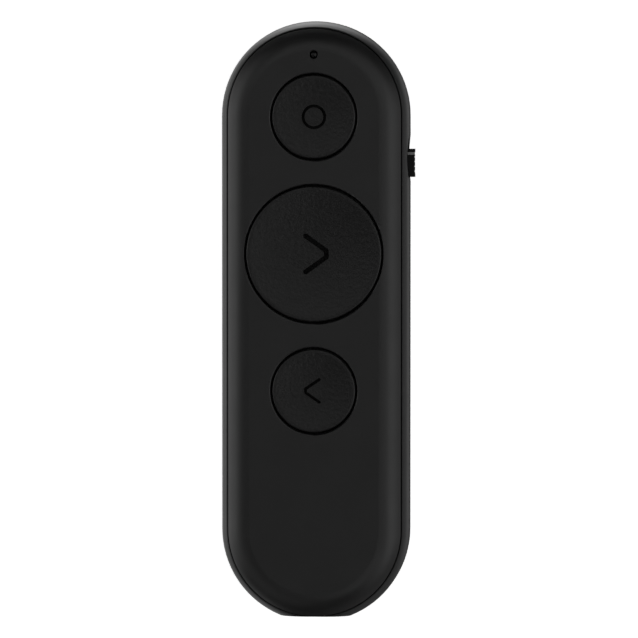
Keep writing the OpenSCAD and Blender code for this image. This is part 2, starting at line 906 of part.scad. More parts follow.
chip_x = -6.5;
chip_y = (room_nose + room_wall + laser_back - lead_run) / 2;
chip_size = [5, 5, 0.85];
crystal_size = [3.2, 2.5, 0.8];
coil_size = [3.4, 3.4, 1.6];
coil_dip_r = 1.1;
coil_dip = 0.3;
capacitor_size = [0.8, 1.4, 0.8];
capacitor_pitch = 1.8;
part_gap = 0.8;
crystal_y = chip_y + (chip_size.y + crystal_size.y) / 2 + part_gap;
coil_y = chip_y - (chip_size.y + coil_size.y) / 2 - part_gap;

module radio_chip() {
    color("#101010") under_board(chip_x, chip_y, chip_size);
}

module radio_crystal() {
    color("silver") under_board(chip_x, crystal_y, crystal_size);
}

module boost_coil() {
    color("#3a3a3a")
        difference() {
            under_board(chip_x, coil_y, coil_size);
            rod(chip_x, coil_y, board_z - coil_size.z - over, board_z - coil_size.z + coil_dip, coil_dip_r);
        }
}

module chip_capacitors() {
    color("#a08058")
        for (x = [-capacitor_pitch, 0, capacitor_pitch], side = [-1, 1])
            under_board(x, chip_y + side * (capacitor_size.y / 2 + part_gap), capacitor_size);
}

// Meandering copper aerial on the nose end of the board
module antenna_trace() {
    trace = 0.5;
    step = 1;
    legs = 6;
    height = 2.6;
    foil = 0.07;
    x0 = -2;
    y0 = nose_y - 10.2;
    color("#c87533")
        for (i = [0:legs - 1]) {
            x = x0 - i * step;
            box([x - trace, y0, board_top], [x, y0 + height, board_top + foil]);
            if (i < legs - 1)
                box([x - step - trace, i % 2 == 0 ? y0 : y0 + height - trace, board_top],
                    [x, i % 2 == 0 ? y0 + trace : y0 + height, board_top + foil]);
        }
}

led_size = [1.6, 0.8, 0.6];

module status_led() {
    color("#f4f0d0")
        box([-led_size.x / 2, light_y - led_size.y / 2, board_top],
            [led_size.x / 2, light_y + led_size.y / 2, board_top + led_size.z]);
}

module light_pipe() {
    color("#d0e8f0") {
        intersection() {
            rod(0, light_y, pipe_low, body_h, light_d / 2 - fit_gap / 2);
            translate([0, light_y, pipe_top - pipe_ball_r]) sphere(pipe_ball_r);
        }
        rod(0, light_y, pipe_low, pipe_top - pipe_ball_r, light_d / 2 - fit_gap / 2);
        rod(0, light_y, face_in - pipe_flange_t, face_in, pipe_flange_r);
    }
}

// ---------------------------------------------------------------- laser

lens_t = 1.2;
lens_seat = 1;
lens_ball_r = 5;
barrel_lip = 0.4;
diode_flange_t = 1.2;
diode_can_r = 1.8;
diode_l = 3.4;

module laser_barrel() {
    color("#b08d3c")
        difference() {
            rod_y(0, laser_z, laser_back, laser_front, laser_d / 2);
            rod_y(0, laser_z, laser_back - over, laser_front - lens_seat, laser_bore_r);
            rod_y(0, laser_z, laser_back, laser_front + over, aperture_d / 2 - barrel_lip);
        }
}

module laser_lens() {
    lens_back = laser_front - lens_seat - lens_t;
    color("#e0f0f8")
        intersection() {
            rod_y(0, laser_z, lens_back, lens_back + lens_t, laser_bore_r - screw_play);
            translate([0, lens_back + lens_t - lens_ball_r, laser_z]) sphere(lens_ball_r, $fn = 120);
        }
}

// Diode can on its flange, with two leads that turn up to pads under the board
module laser_diode() {
    color("#c9a227") {
        rod_y(0, laser_z, laser_back, laser_back + diode_flange_t, laser_bore_r - screw_play);
        rod_y(0, laser_z, laser_back + diode_flange_t - eps, laser_back + diode_l, diode_can_r);
        for (side = [-1, 1]) {
            rod_y(side * lead_x, laser_z, laser_back - lead_run, laser_back + eps, lead_r);
            rod(side * lead_x, laser_back - lead_run, laser_z - lead_r, board_z, lead_r);
        }
    }
}

// ---------------------------------------------------------------- battery

module battery_can() {
    color("silver") {
        rod_y(0, battery_z, cell_tail, cell_nose, battery_d / 2 - jacket_t);
        rod_y(0, battery_z, cell_nose - eps, cell_nose + nub_l, nub_r);
    }
}

module battery_jacket() {
    rim = 0.4;
    color("#2c5f8a")
        difference() {
            rod_y(0, battery_z, cell_tail + rim, cell_nose - rim, battery_d / 2);
            rod_y(0, battery_z, cell_tail, cell_nose, battery_d / 2 - jacket_t);
        }
}

// Sprung plate at one end of the battery's room, with a tab up through the board
module contact_plate(y0) {
    plate_w = battery_d * 0.7;
    box([-plate_w / 2, y0, battery_z - plate_w / 2], [plate_w / 2, y0 + contact_t, battery_z + plate_w / 2]);
    box([-tab_w / 2, y0, battery_z], [tab_w / 2, y0 + contact_t, tab_top(y0)]);
}

module positive_contact() {
    color("#cfd2d6") contact_plate(room_nose - contact_t);
}

module negative_contact() {
    color("#cfd2d6") contact_plate(room_tail);
}

spring_wire_r = 0.25;
spring_turns = 3;
spring_steps = 14;
spring_sides = 6;
spring_foot_r = 3.4;
spring_head_r = 1.7;

// Centre line of the conical spring: t runs from 0 at the plate to 1 at the cell
function spring_point(t) =
    let (r = spring_foot_r + (spring_head_r - spring_foot_r) * t, a = 360 * spring_turns * t)
        [r * cos(a),
         room_tail + contact_t + spring_wire_r + (spring_l - 2 * spring_wire_r) * t,
         battery_z + r * sin(a)];

// Least gap between one turn of the spring and the next, measured on its centre line
spring_rings = spring_steps * spring_turns;
spring_gap = min([for (i = [0:spring_rings - spring_steps], j = [spring_steps / 2:spring_steps * 3 / 2])
    if (i + j <= spring_rings)
        norm(spring_point((i + j) / spring_rings) - spring_point(i / spring_rings))
]) - 2 * spring_wire_r;
echo(spring_gap = spring_gap);

// Ring of points round the wire at t, square to the turn
function spring_ring(t) = let (a = 360 * spring_turns * t, p = spring_point(t))
    [for (k = [0:spring_sides - 1]) let (b = 360 * k / spring_sides)
        p + spring_wire_r * [cos(b) * cos(a), sin(b), cos(b) * sin(a)]];

module negative_spring() {
    rings = spring_rings;
    points = [for (i = [0:rings]) each spring_ring(i / rings)];
    sides = [for (i = [0:rings - 1], k = [0:spring_sides - 1])
        let (a = i * spring_sides + k, b = i * spring_sides + (k + 1) % spring_sides)
            each [[a, b, a + spring_sides], [b, b + spring_sides, a + spring_sides]]];
    ends = [for (k = [1:spring_sides - 2])
        each [[0, k + 1, k], [rings * spring_sides, rings * spring_sides + k, rings * spring_sides + k + 1]]];
    color("#cfd2d6") polyhedron(points, concat(sides, ends));
}

// ---------------------------------------------------------------- battery door

module door_hook(side) {
    x = side * hook_x;
    box([x - hook_w / 2, door_tail, bite], [x + hook_w / 2, door_tail + hook_base, hook_top]);
    box([x - hook_w / 2, door_tail - hook_out, hook_top - hook_t],
        [x + hook_w / 2, door_tail + eps, hook_top]);
}

// Springy loop at the nose end of the door: up into the case, over, and down again to the back
module latch_loop() {
    half = latch_w / 2;
    box([-half, door_nose - latch_l, 0], [half, door_nose - latch_l + latch_leg, latch_rise]);
    box([-half, door_nose - latch_l, latch_rise - latch_leg], [half, door_nose, latch_rise]);
    box([-half, door_nose - latch_leg, 0], [half, door_nose, latch_rise]);
}

// Gap that frees the loop's outer leg from the door's plate
module latch_room() {
    half = latch_w / 2 + latch_slit;
    box([-half, door_nose - latch_l + latch_leg, -over], [half, door_nose + over, door_t + over]);
}

module door_grip() {
    for (i = [0:grip_grooves - 1])
        rod_x(door_nose - latch_l - grip_pitch * (i + 1), 0, latch_w, grip_r);
}

// Round groove along X at a place on the back
module rod_x(y, z, length, r) {
    translate([-length / 2, y, z]) rotate([0, 90, 0]) cylinder(r = r, h = length);
}

module battery_door() {
    color("#262626")
        difference() {
            union() {
                difference() {
                    intersection() {
                        case_form(0, 0);
                        rounded_box([-door_w / 2, door_tail, -eps], [door_w / 2, door_nose, door_t], door_r);
                    }
                    latch_room();
                }
                latch_loop();
                for (side = [-1, 1])
                    door_hook(side);
                for (y = [cell_tail + 6, cell_nose - 8])
                    box([-rest_x, y, door_t - eps],
                        [rest_x, y + rest_t, battery_z - battery_d / 2 + rest_rise]);
            }
            door_grip();
            rod_y(0, battery_z, room_tail, room_nose, battery_d / 2 + fit_gap / 2);
        }
}

// ---------------------------------------------------------------- receiver

module receiver_housing() {
    color("#1c1c1c")
        difference() {
            intersection() {
                case_form(0, 0);
                box([-receiver_w / 2, tail_y, receiver_z - receiver_h / 2],
                    [receiver_w / 2, tail_y + housing_l, receiver_z + receiver_h / 2]);
            }
            box([-plug_w / 2, plug_back, receiver_z - plug_h / 2],
                [plug_w / 2, tail_y + housing_l + 1, receiver_z + plug_h / 2]);
            box([-receiver_board_w / 2 - fit_gap, tail_y + wall, receiver_z - receiver_room / 2],
                [receiver_board_w / 2 + fit_gap, plug_back + over, receiver_z + receiver_room / 2]);
            for (i = [0:2], z = [-1, 1])
                rod_x(tail_y + 1.6 + i * thumb_pitch, receiver_z + z * receiver_h / 2, thumb_w, thumb_r);
        }
}

module receiver_plug() {
    y0 = plug_back;
    y1 = tail_y + receiver_l;
    color("silver")
        difference() {
            box([-plug_w / 2, y0, receiver_z - plug_h / 2], [plug_w / 2, y1, receiver_z + plug_h / 2]);
            box([-plug_w / 2 + plug_t, y0 - over, receiver_z - plug_h / 2 + plug_t],
                [plug_w / 2 - plug_t, y1 + over, receiver_z + plug_h / 2 - plug_t]);
            for (x = [-window_x, window_x])
                box([x - window_w / 2, y1 - window_from_end - window_l, receiver_z - plug_h],
                    [x + window_w / 2, y1 - window_from_end, receiver_z + plug_h]);
        }
}

module receiver_board() {
    color("#14503a")
        box([-receiver_board_w / 2, tail_y + wall + fit_gap, receiver_z - receiver_board_t / 2],
            [receiver_board_w / 2, plug_back, receiver_z + receiver_board_t / 2]);
    color("#101010")
        box([-receiver_chip.x / 2, tail_y + wall + 0.5, receiver_z + receiver_board_t / 2 - eps],
            [receiver_chip.x / 2, plug_back - 0.4, receiver_z + receiver_board_t / 2 + receiver_chip.y]);
}

module receiver_tongue() {
    low = receiver_z - plug_h / 2 + plug_t;
    color("#f2f2f2")
        box([-plug_w / 2 + plug_t, plug_back, low],
            [plug_w / 2 - plug_t, tail_y + receiver_l - 0.5, low + tongue_h]);
}

module receiver_contacts() {
    low = receiver_z - plug_h / 2 + plug_t + tongue_h;
    y1 = tail_y + receiver_l - contact_end;
    color("gold")
        for (x = contact_x) {
            y0 = y1 - (abs(x) > 2 ? outer_contact_l : inner_contact_l);
            box([x - contact_w / 2, y0, low], [x + contact_w / 2, y1, low + contact_foil]);
        }
}

// ---------------------------------------------------------------- nodes

top_shell();
bottom_shell();
case_screws();
pointer_button();
next_button();
back_button();
key_base(pointer_y);  // pointer_key_base
key_base(next_y);  // next_key_base
key_base(back_y);  // back_key_base
key_cover(pointer_y);  // pointer_key_cover
key_cover(next_y);  // next_key_cover
key_cover(back_y);  // back_key_cover
key_plunger(pointer_y);  // pointer_key_plunger
key_plunger(next_y);  // next_key_plunger
key_plunger(back_y);  // back_key_plunger
power_knob();
power_switch_lever();
power_switch_can();
power_switch_base();
circuit_board();
board_screws();
radio_chip();
radio_crystal();
boost_coil();
chip_capacitors();
antenna_trace();
status_led();
light_pipe();
laser_barrel();
laser_lens();
laser_diode();
battery_can();
battery_jacket();
positive_contact();
negative_contact();
negative_spring();
battery_door();
receiver_housing();
receiver_plug();
receiver_board();
receiver_tongue();
receiver_contacts();
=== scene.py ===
"""Looks of a wireless presentation clicker: a finish for every piece of the packed frame, the spring that the
frame leaves faceted, the studio and the camera. The frame gives every place and size, in metres: +Z points out
of the face, +Y to the nose and +X to the power switch."""

from math import cos, radians, sin, tau

import bmesh
import bpy
from bpy.props import FloatProperty, FloatVectorProperty, IntProperty, PointerProperty
from bpy.types import NodeSocket, Operator, Panel, PropertyGroup
from mathutils import Matrix, Vector


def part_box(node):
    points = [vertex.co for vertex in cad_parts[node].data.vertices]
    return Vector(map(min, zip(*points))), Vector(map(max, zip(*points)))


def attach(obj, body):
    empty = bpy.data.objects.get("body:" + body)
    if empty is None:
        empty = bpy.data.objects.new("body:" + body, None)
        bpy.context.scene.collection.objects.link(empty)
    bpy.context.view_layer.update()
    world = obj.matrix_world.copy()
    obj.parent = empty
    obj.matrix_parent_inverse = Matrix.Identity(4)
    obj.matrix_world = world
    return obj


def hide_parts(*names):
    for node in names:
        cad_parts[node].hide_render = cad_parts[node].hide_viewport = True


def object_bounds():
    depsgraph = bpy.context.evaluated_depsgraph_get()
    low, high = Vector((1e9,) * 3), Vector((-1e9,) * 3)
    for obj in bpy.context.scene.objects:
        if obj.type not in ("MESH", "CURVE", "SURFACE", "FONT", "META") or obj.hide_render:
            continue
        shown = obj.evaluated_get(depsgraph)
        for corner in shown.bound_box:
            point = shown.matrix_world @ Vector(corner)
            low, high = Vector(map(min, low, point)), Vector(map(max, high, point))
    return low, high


bl_info = {
    "name": "Presentation clicker looks",
    "version": (1, 0, 0),
    "blender": (4, 5, 0),
    "location": "3D View > Sidebar > Clicker",
    "description": "Finishes the packed clicker, piece by piece, and sets its studio",
    "category": "Object",
}

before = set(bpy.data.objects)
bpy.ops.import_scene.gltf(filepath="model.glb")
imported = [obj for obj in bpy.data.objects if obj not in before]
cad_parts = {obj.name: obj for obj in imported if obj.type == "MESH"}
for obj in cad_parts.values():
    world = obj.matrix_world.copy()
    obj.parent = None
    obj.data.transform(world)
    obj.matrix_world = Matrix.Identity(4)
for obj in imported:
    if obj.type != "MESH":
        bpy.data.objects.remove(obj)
CAD_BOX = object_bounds()
MM = 0.001
NOISE_RANGE = (0.3, 0.7)  # nearly all of a noise texture's values lie between these
CLIP_END = 100  # metres that the camera sees, well past the backdrop


# ------------------------------------------------------------------ colour, nodes and meshes

def srgb(code):
    """Linear RGB of an sRGB hex colour such as "#1c1c1e"."""
    parts = [int(code[i:i + 2], 16) / 255 for i in (1, 3, 5)]
    return [c / 12.92 if c <= 0.04045 else ((c + 0.055) / 1.055) ** 2.4 for c in parts]


def scaled(colour, factor):
    """The colour, lighter or darker by a factor."""
    return [c * factor for c in colour]


def colour_setting(name, code, description):
    """Colour setting of a property group, with its default as an sRGB hex code."""
    return FloatVectorProperty(
        name=name, description=description, subtype="COLOR", size=3, min=0, max=1, default=srgb(code))


def length_setting(name, value, description):
    """Length setting of a property group, in metres."""
    return FloatProperty(
        name=name, description=description, subtype="DISTANCE", unit="LENGTH", min=0, precision=6, default=value)


def offset_setting(name, value, description):
    """Offset setting of a property group, in metres, which may be negative."""
    return FloatProperty(
        name=name, description=description, subtype="DISTANCE", unit="LENGTH", precision=6, default=value)


def angle_setting(name, degrees, description):
    """Angle setting of a property group, with its default in degrees."""
    return FloatProperty(
        name=name, description=description, subtype="ANGLE", unit="ROTATION", default=radians(degrees))


def share_setting(name, value, description, high=1.0):
    """Plain number of a property group, from nought up."""
    return FloatProperty(name=name, description=description, min=0, max=high, default=value)


def add_node(tree, kind, inputs=None, **settings):
    """Adds a node with its settings. Each input is linked where it is given a socket, and is set otherwise."""
    node = tree.nodes.new(kind)
    for name, value in settings.items():
        setattr(node, name, value)
    for name, value in (inputs or {}).items():
        if isinstance(value, NodeSocket):
            tree.links.new(value, node.inputs[name])
        else:
            node.inputs[name].default_value = value
    return node


def start_material(name, colour, roughness, **values):
    """New material with one Principled shader. Returns the material, its tree, the shader and the place on the
    piece, in metres."""
    material = bpy.data.materials.new(name)
    material.use_nodes = True
    material.diffuse_color = (*colour, 1)
    tree = material.node_tree
    tree.nodes.clear()
    shader = add_node(tree, "ShaderNodeBsdfPrincipled", {
        "Base Color": (*colour, 1), "Roughness": roughness,
        **{key.replace("_", " "): value for key, value in values.items()}})
    add_node(tree, "ShaderNodeOutputMaterial", {"Surface": shader.outputs["BSDF"]})
    place = add_node(tree, "ShaderNodeTexCoord").outputs["Object"]
    return material, tree, shader, place


def uneven(tree, place, size, low=0.0, high=1.0, detail=2.0):
    """Value that wanders between two bounds over a real distance, in metres."""
    noise = add_node(tree, "ShaderNodeTexNoise", {"Vector": place, "Scale": 1 / size, "Detail": detail})
    return add_node(tree, "ShaderNodeMapRange", {
        "Value": noise.outputs["Fac"], "From Min": NOISE_RANGE[0], "From Max": NOISE_RANGE[1],
        "To Min": low, "To Max": high}, clamp=True).outputs["Result"]


def shade(tree, factor, dark, light):
    """Colour between two, by a factor."""
    return add_node(tree, "ShaderNodeMix", {
        "Factor": factor, "A": (*dark, 1), "B": (*light, 1)}, data_type="RGBA").outputs[2]


def overlaid(tree, factor, under, colour):
    """A colour that is given by a socket, with an even one over it by a factor."""
    return add_node(tree, "ShaderNodeMix", {
        "Factor": factor, "A": under, "B": (*colour, 1)}, data_type="RGBA").outputs[2]


def coordinate(tree, place, axis):
    """One coordinate of a place."""
    return add_node(tree, "ShaderNodeSeparateXYZ", {"Vector": place}).outputs[axis]


def relief(tree, shader, height, depth):
    """Bump of a real depth, in metres, from a height between 0 and 1."""
    bump = add_node(tree, "ShaderNodeBump", {"Height": height, "Distance": depth, "Strength": 1.0})
    tree.links.new(bump.outputs["Normal"], shader.inputs["Normal"])


def finish_nodes(material, slot, *names):
    """Gives CAD nodes their finish."""
    for name in names:
        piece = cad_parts[name]
        for holder in piece.material_slots:
            holder.material = material


def new_piece(name, mesh, material, body, replaced):
    """Links a modelled piece, gives it its finish, puts it on its body and hides the CAD nodes that it stands for.
    """
    piece = bpy.data.objects.new(name, mesh)
    bpy.context.scene.collection.objects.link(piece)
    mesh.materials.append(material)
    mesh.shade_smooth()
    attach(piece, body)
    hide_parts(*replaced)
    return piece


# ------------------------------------------------------------------ settings

class CoverSettings(PropertyGroup):
    """Soft-touch paint of the covers and the battery door"""

    colour: colour_setting("Colour", "#161616", "Colour of the paint in even light")
    roughness: share_setting("Roughness", 0.36, "Roughness of the paint")
    pebble: length_setting("Pebble", 0.25 * MM, "Distance from one pebble of the paint to the next")
    pebble_depth: length_setting("Pebble depth", 0.0035 * MM, "Height of the pebbles")
    handling: length_setting("Handling", 9 * MM, "Size of the patches that handling leaves")


class ButtonSettings(PropertyGroup):
    """Moulded caps of the three buttons"""

    colour: colour_setting("Colour", "#131313", "Colour of the moulded caps")
    roughness: share_setting("Roughness", 0.3, "Roughness of the caps")
    gloss: share_setting("Gloss", 0.375, "Strength of the caps' reflections, 0.5 for the plain plastic")
    grain: length_setting("Grain", 0.75 * MM, "Distance from one grain of the mould's texture to the next")
    grain_depth: length_setting("Grain depth", 0.07 * MM, "Depth of the mould's texture")
    # Painted shade: a near-black colour and a roughness laid on all of a cap below its hollow's floor. It covers
    # the symbols' grooves and the cap's side in the gap round it, and fades in between the two depths below.
    recess_shade: colour_setting("Ink", "#020202", "Colour of the paint in the engraved symbols")
    recess_shade_roughness: share_setting("Ink roughness", 1.0, "Roughness of the paint in the symbols")
    recess_shade_start: length_setting("Ink start", 0.02 * MM, "Depth below the hollow's floor where the paint starts")
    recess_shade_full: length_setting("Ink full", 0.08 * MM, "Depth below the hollow's floor where the paint covers all")


class KnobSettings(PropertyGroup):
    """Sliding power knob"""

    colour: colour_setting("Colour", "#080808", "Colour of the knob")
    roughness: share_setting("Roughness", 0.5, "Roughness of the knob")
    gloss: share_setting("Gloss", 0.2, "Strength of the knob's reflections, 0.5 for the plain plastic")
    line: colour_setting("Line", "#8c8c8c", "Colour of the index line behind the front ridge")
    line_from_front: length_setting("Line from front", 0.925 * MM, "Distance from the front end to the line")
    line_width: length_setting("Line width", 0.5 * MM, "Width of the index line")


class BatterySettings(PropertyGroup):
    """Cell's film, and the spring"""

    film: colour_setting("Film", "#1f4f79", "Colour of the film round the cell")
    band: colour_setting("Band", "#b9bec4", "Colour of the printed band")
    band_length: length_setting("Band length", 9 * MM, "Length of the band at the positive end")
    wire_radius: length_setting("Wire radius", 0.25 * MM, "Radius of the spring's wire")
    narrow_radius: length_setting("Narrow radius", 1.7 * MM, "Radius of the spring's middle line at the cell")
    turns: IntProperty(name="Turns", description="Turns of the spring", default=3, min=2)
    turn_steps: IntProperty(name="Turn steps", description="Rings of points in one turn", default=36, min=12)
    wire_sides: IntProperty(name="Wire sides", description="Sides of the spring's wire", default=16, min=6)


class StudioSettings(PropertyGroup):
    """Light, floor, backdrop and camera"""

    floor: colour_setting("Floor", "#f4f4f4", "Colour of the floor and the backdrop")
    floor_glow: share_setting("Floor glow", 0.82, "Light that comes up through the floor", 4)
    floor_radius: length_setting("Floor radius", 4.0, "Radius of the floor")
    floor_drop: length_setting("Floor drop", 0.05 * MM, "Gap between the clicker's flat back and the floor")
    backdrop_radius: length_setting("Backdrop radius", 6.0, "Radius of the backdrop")
    room: share_setting("Room", 0.03, "Light from all round", 4)
    light: share_setting("Light", 1.06, "Strength of all the glows together", 8)
    yaw: angle_setting("Yaw", 4.0, "Angle of the camera towards the power switch's side")
    pitch: angle_setting("Pitch", 2.5, "Angle of the camera towards the nose")
    distance: length_setting("Distance", 1.2, "Distance from the camera to the clicker")
    view_width: length_setting("View width", 130.4 * MM, "Width that the picture takes in at the clicker")
    aim_x: offset_setting("Aim across", 0.446 * MM, "Picture's middle, to the right of the clicker's")
    aim_y: offset_setting("Aim along", 0.53 * MM, "Picture's middle, towards the nose from the clicker's")


# ------------------------------------------------------------------ covers

def soft_touch_paint(s, name, tint):
    """ABS covers under sprayed soft-touch polyurethane: dead matt, so highlights are wide and weak, with a fine
    pebble that breaks them up. Palms polish it in faint patches. The pebble is drawn 0.25 mm apart, coarser than
    the real 0.1 mm, so that it shows."""
    colour = scaled(s.colour, tint)
    material, tree, shader, place = start_material(name, colour, s.roughness, IOR=1.49)
    tree.links.new(
        shade(tree, uneven(tree, place, s.handling), scaled(colour, 0.9), scaled(colour, 1.1)),
        shader.inputs["Base Color"])
    tree.links.new(
        uneven(tree, place, s.handling * 0.7, low=s.roughness - 0.02, high=s.roughness + 0.025),
        shader.inputs["Roughness"])
    pebble = add_node(tree, "ShaderNodeTexNoise", {"Vector": place, "Scale": 1 / s.pebble, "Detail": 2.0})
    relief(tree, shader, pebble.outputs["Fac"], s.pebble_depth)
    return material


class CLICKER_OT_covers(Operator):
    """Finishes the top cover and the bottom cover"""

    bl_idname = "clicker.covers"
    bl_label = "Covers"

    def execute(self, context):
        s = context.scene.clicker_covers
        finish_nodes(soft_touch_paint(s, "Soft-touch paint, top cover", tint=1.0), "cover", "top_shell")
        finish_nodes(soft_touch_paint(s, "Soft-touch paint, bottom cover", tint=1.08), "base", "bottom_shell")
        return {"FINISHED"}


# ------------------------------------------------------------------ buttons

def hollow_floor(node):
    """Height of a button's hollow round its middle, which its symbol is cut below."""
    low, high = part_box(node)
    middle = (low.y + high.y) / 2
    reach_x, reach_y, reach_z = 1 * MM, 2 * MM, 2 * MM
    heights = [v.co.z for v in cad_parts[node].data.vertices
               if abs(v.co.x) < reach_x and abs(v.co.y - middle) < reach_y and v.co.z > high.z - reach_z]
    return max(heights) if heights else high.z


def moulded_button(s, node):
    """Polycarbonate cap from a spark-eroded mould: satin, with an irregular leathery grain. All of the cap below
    the hollow's floor is painted near-black and rough: painted shade in the engraved symbols and on the cap's side
    in the gap round it."""
    floor = hollow_floor(node)
    material, tree, shader, place = start_material(
        f"Moulded polycarbonate, {node}", s.colour, s.roughness, IOR=1.52, Specular_IOR_Level=s.gloss)
    # Painted shade below the hollow's floor: near-black and rougher, in the symbols' grooves and in the gap round
    # the cap
    painted = add_node(tree, "ShaderNodeMapRange", {
        "Value": coordinate(tree, place, "Z"), "From Min": floor - s.recess_shade_full, "From Max": floor - s.recess_shade_start,
        "To Min": 1, "To Max": 0}, clamp=True).outputs["Result"]
    body = shade(tree, uneven(tree, place, 5 * MM), scaled(s.colour, 0.92), scaled(s.colour, 1.08))
    tree.links.new(overlaid(tree, painted, body, s.recess_shade), shader.inputs["Base Color"])
    tree.links.new(add_node(tree, "ShaderNodeMapRange", {
        "Value": painted, "To Min": s.roughness, "To Max": s.recess_shade_roughness}).outputs["Result"],
        shader.inputs["Roughness"])
    grain = add_node(tree, "ShaderNodeTexNoise", {
        "Vector": place, "Scale": 1 / s.grain, "Detail": 3.0, "Roughness": 0.55})
    relief(tree, shader, grain.outputs["Fac"], s.grain_depth)
    return material


class CLICKER_OT_buttons(Operator):
    """Finishes the pointer, forward and back buttons"""

    bl_idname = "clicker.buttons"
    bl_label = "Buttons"

    def execute(self, context):
        s = context.scene.clicker_buttons
        for node in ("pointer_button", "next_button", "back_button"):
            finish_nodes(moulded_button(s, node), "button", node)
        return {"FINISHED"}


# ------------------------------------------------------------------ power knob

def moulded_acetal(s):
    """Black acetal from a blasted mould: dull and very dark, with a pale line of paint across it that shows where
    the knob stands."""
    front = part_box("power_knob")[1].y
    material, tree, shader, place = start_material(
        "Moulded acetal, knob", s.colour, s.roughness, IOR=1.48, Specular_IOR_Level=s.gloss)
    painted = add_node(tree, "ShaderNodeMath", {
        0: coordinate(tree, place, "Y"), 1: front - s.line_from_front, 2: s.line_width / 2},
        operation="COMPARE").outputs[0]
    body = shade(tree, uneven(tree, place, 0.8 * MM), scaled(s.colour, 0.85), scaled(s.colour, 1.2))
    tree.links.new(overlaid(tree, painted, body, s.line), shader.inputs["Base Color"])
    tree.links.new(
        uneven(tree, place, 1.2 * MM, low=s.roughness - 0.08, high=s.roughness + 0.06),
        shader.inputs["Roughness"])
    pits = add_node(tree, "ShaderNodeTexNoise", {"Vector": place, "Scale": 1 / (0.12 * MM), "Detail": 1.0})
    relief(tree, shader, pits.outputs["Fac"], depth=0.003 * MM)
    return material


class CLICKER_OT_power_knob(Operator):
    """Finishes the sliding power knob"""

    bl_idname = "clicker.power_knob"
    bl_label = "Power knob"

    def execute(self, context):
        finish_nodes(moulded_acetal(context.scene.clicker_knob), "knob", "power_knob")
        return {"FINISHED"}


# ------------------------------------------------------------------ small moulded pieces and the lens

def smoked_acrylic():
    """Smoked acrylic light guide: nearly black and glassy, so its dome holds one small highlight."""
    material, tree, shader, place = start_material(
        "Smoked acrylic, light guide", srgb("#09090a"), 0.09, IOR=1.49, Specular_IOR_Level=0.27,
        Transmission_Weight=0.08)
    tree.links.new(uneven(tree, place, 0.6 * MM, low=0.07, high=0.13), shader.inputs["Roughness"])
    return material


def optical_glass():
    """Moulded glass lens with a red-blocking coat: clear, with a faint cast."""
    material, tree, shader, place = start_material(
        "Coated glass, lens", srgb("#c9d6e8"), 0.03, IOR=1.52, Transmission_Weight=0.85)
    tree.links.new(uneven(tree, place, 2 * MM, low=0.02, high=0.05), shader.inputs["Roughness"])
    return material


def black_resin():
    """Glass-filled polymer, matt black with pale flecks of filler."""
    material, tree, shader, place = start_material(
        "Glass-filled polymer, black", srgb("#161617"), 0.55, IOR=1.6)
    flecks = uneven(tree, place, 0.12 * MM, detail=4.0)
    tree.links.new(shade(tree, flecks, srgb("#101011"), srgb("#1e1e20")), shader.inputs["Base Color"])
    relief(tree, shader, flecks, depth=0.004 * MM)
    return material


def off_white_nylon():
    """Natural nylon: off-white and slightly waxy, a little yellower where it is thick."""
    material, tree, shader, place = start_material(
        "Nylon, natural", srgb("#dcd8cc"), 0.4, IOR=1.53, Subsurface_Weight=0.15, Subsurface_Scale=0.4 * MM)
    tree.links.new(
        shade(tree, uneven(tree, place, 2.5 * MM), srgb("#d3cebf"), srgb("#e4e1d8")), shader.inputs["Base Color"])
    return material


def fired_ceramic():
    """Fired barium titanate, buff and matt, with a fine speckle."""
    material, tree, shader, place = start_material("Fired ceramic, chip", srgb("#9a7d5e"), 0.5, IOR=1.7)
    speckle = uneven(tree, place, 0.15 * MM, detail=4.0)
    tree.links.new(shade(tree, speckle, srgb("#8a6d50"), srgb("#a98c6b")), shader.inputs["Base Color"])
    return material


def phosphor_resin():
    """Clear resin over phosphor: creamy yellow and glossy."""
    material, tree, shader, place = start_material(
        "Resin over phosphor", srgb("#e9dfae"), 0.2, IOR=1.5, Subsurface_Weight=0.2, Subsurface_Scale=0.2 * MM)
    tree.links.new(
        shade(tree, uneven(tree, place, 0.5 * MM), srgb("#ded08f"), srgb("#f0e9c6")), shader.inputs["Base Color"])
    return material


class CLICKER_OT_status_light(Operator):
    """Finishes the status light and its light guide"""

    bl_idname = "clicker.status_light"
    bl_label = "Status light"

    def execute(self, context):
        finish_nodes(smoked_acrylic(), "clear_plastic", "light_pipe")
        finish_nodes(phosphor_resin(), "led", "status_led")
        return {"FINISHED"}


# ------------------------------------------------------------------ metals

def metal(name, code, roughness, along, line_gap, line_depth):
    """Metal with polishing, drawing or turning lines that run along one axis, a gap apart: they smear highlights
    across the lines and dull them unevenly. The tone changes slowly over 3 mm."""
    colour = srgb(code)
    material, tree, shader, place = start_material(name, colour, roughness, Metallic=1.0)
    stretch = [0.04 if axis == along else 1.0 for axis in "XYZ"]
    lines = add_node(tree, "ShaderNodeMapping", {"Vector": place, "Scale": stretch}).outputs["Vector"]
    streaks = add_node(tree, "ShaderNodeTexNoise", {"Vector": lines, "Scale": 1 / line_gap, "Detail": 3.0})
    tree.links.new(
        shade(tree, uneven(tree, place, 3 * MM), scaled(colour, 0.9), colour), shader.inputs["Base Color"])
    tree.links.new(add_node(tree, "ShaderNodeMapRange", {
        "Value": streaks.outputs["Fac"], "From Min": NOISE_RANGE[0], "From Max": NOISE_RANGE[1],
        "To Min": roughness * 0.75, "To Max": roughness * 1.3}).outputs["Result"], shader.inputs["Roughness"])
    relief(tree, shader, streaks.outputs["Fac"], line_depth)
    return material


class CLICKER_OT_screws(Operator):
    """Finishes the screws of the case and of the board"""

    bl_idname = "clicker.screws"
    bl_label = "Screws"

    def execute(self, context):
        # Zinc plate with a blue passivation: cool grey, softly bright
        zinc = metal("Zinc-plated steel, screws", "#a9aeb4", roughness=0.34,
                     along="Z", line_gap=0.15 * MM, line_depth=0.001 * MM)
        finish_nodes(zinc, "steel", "case_screws", "board_screws")
        return {"FINISHED"}


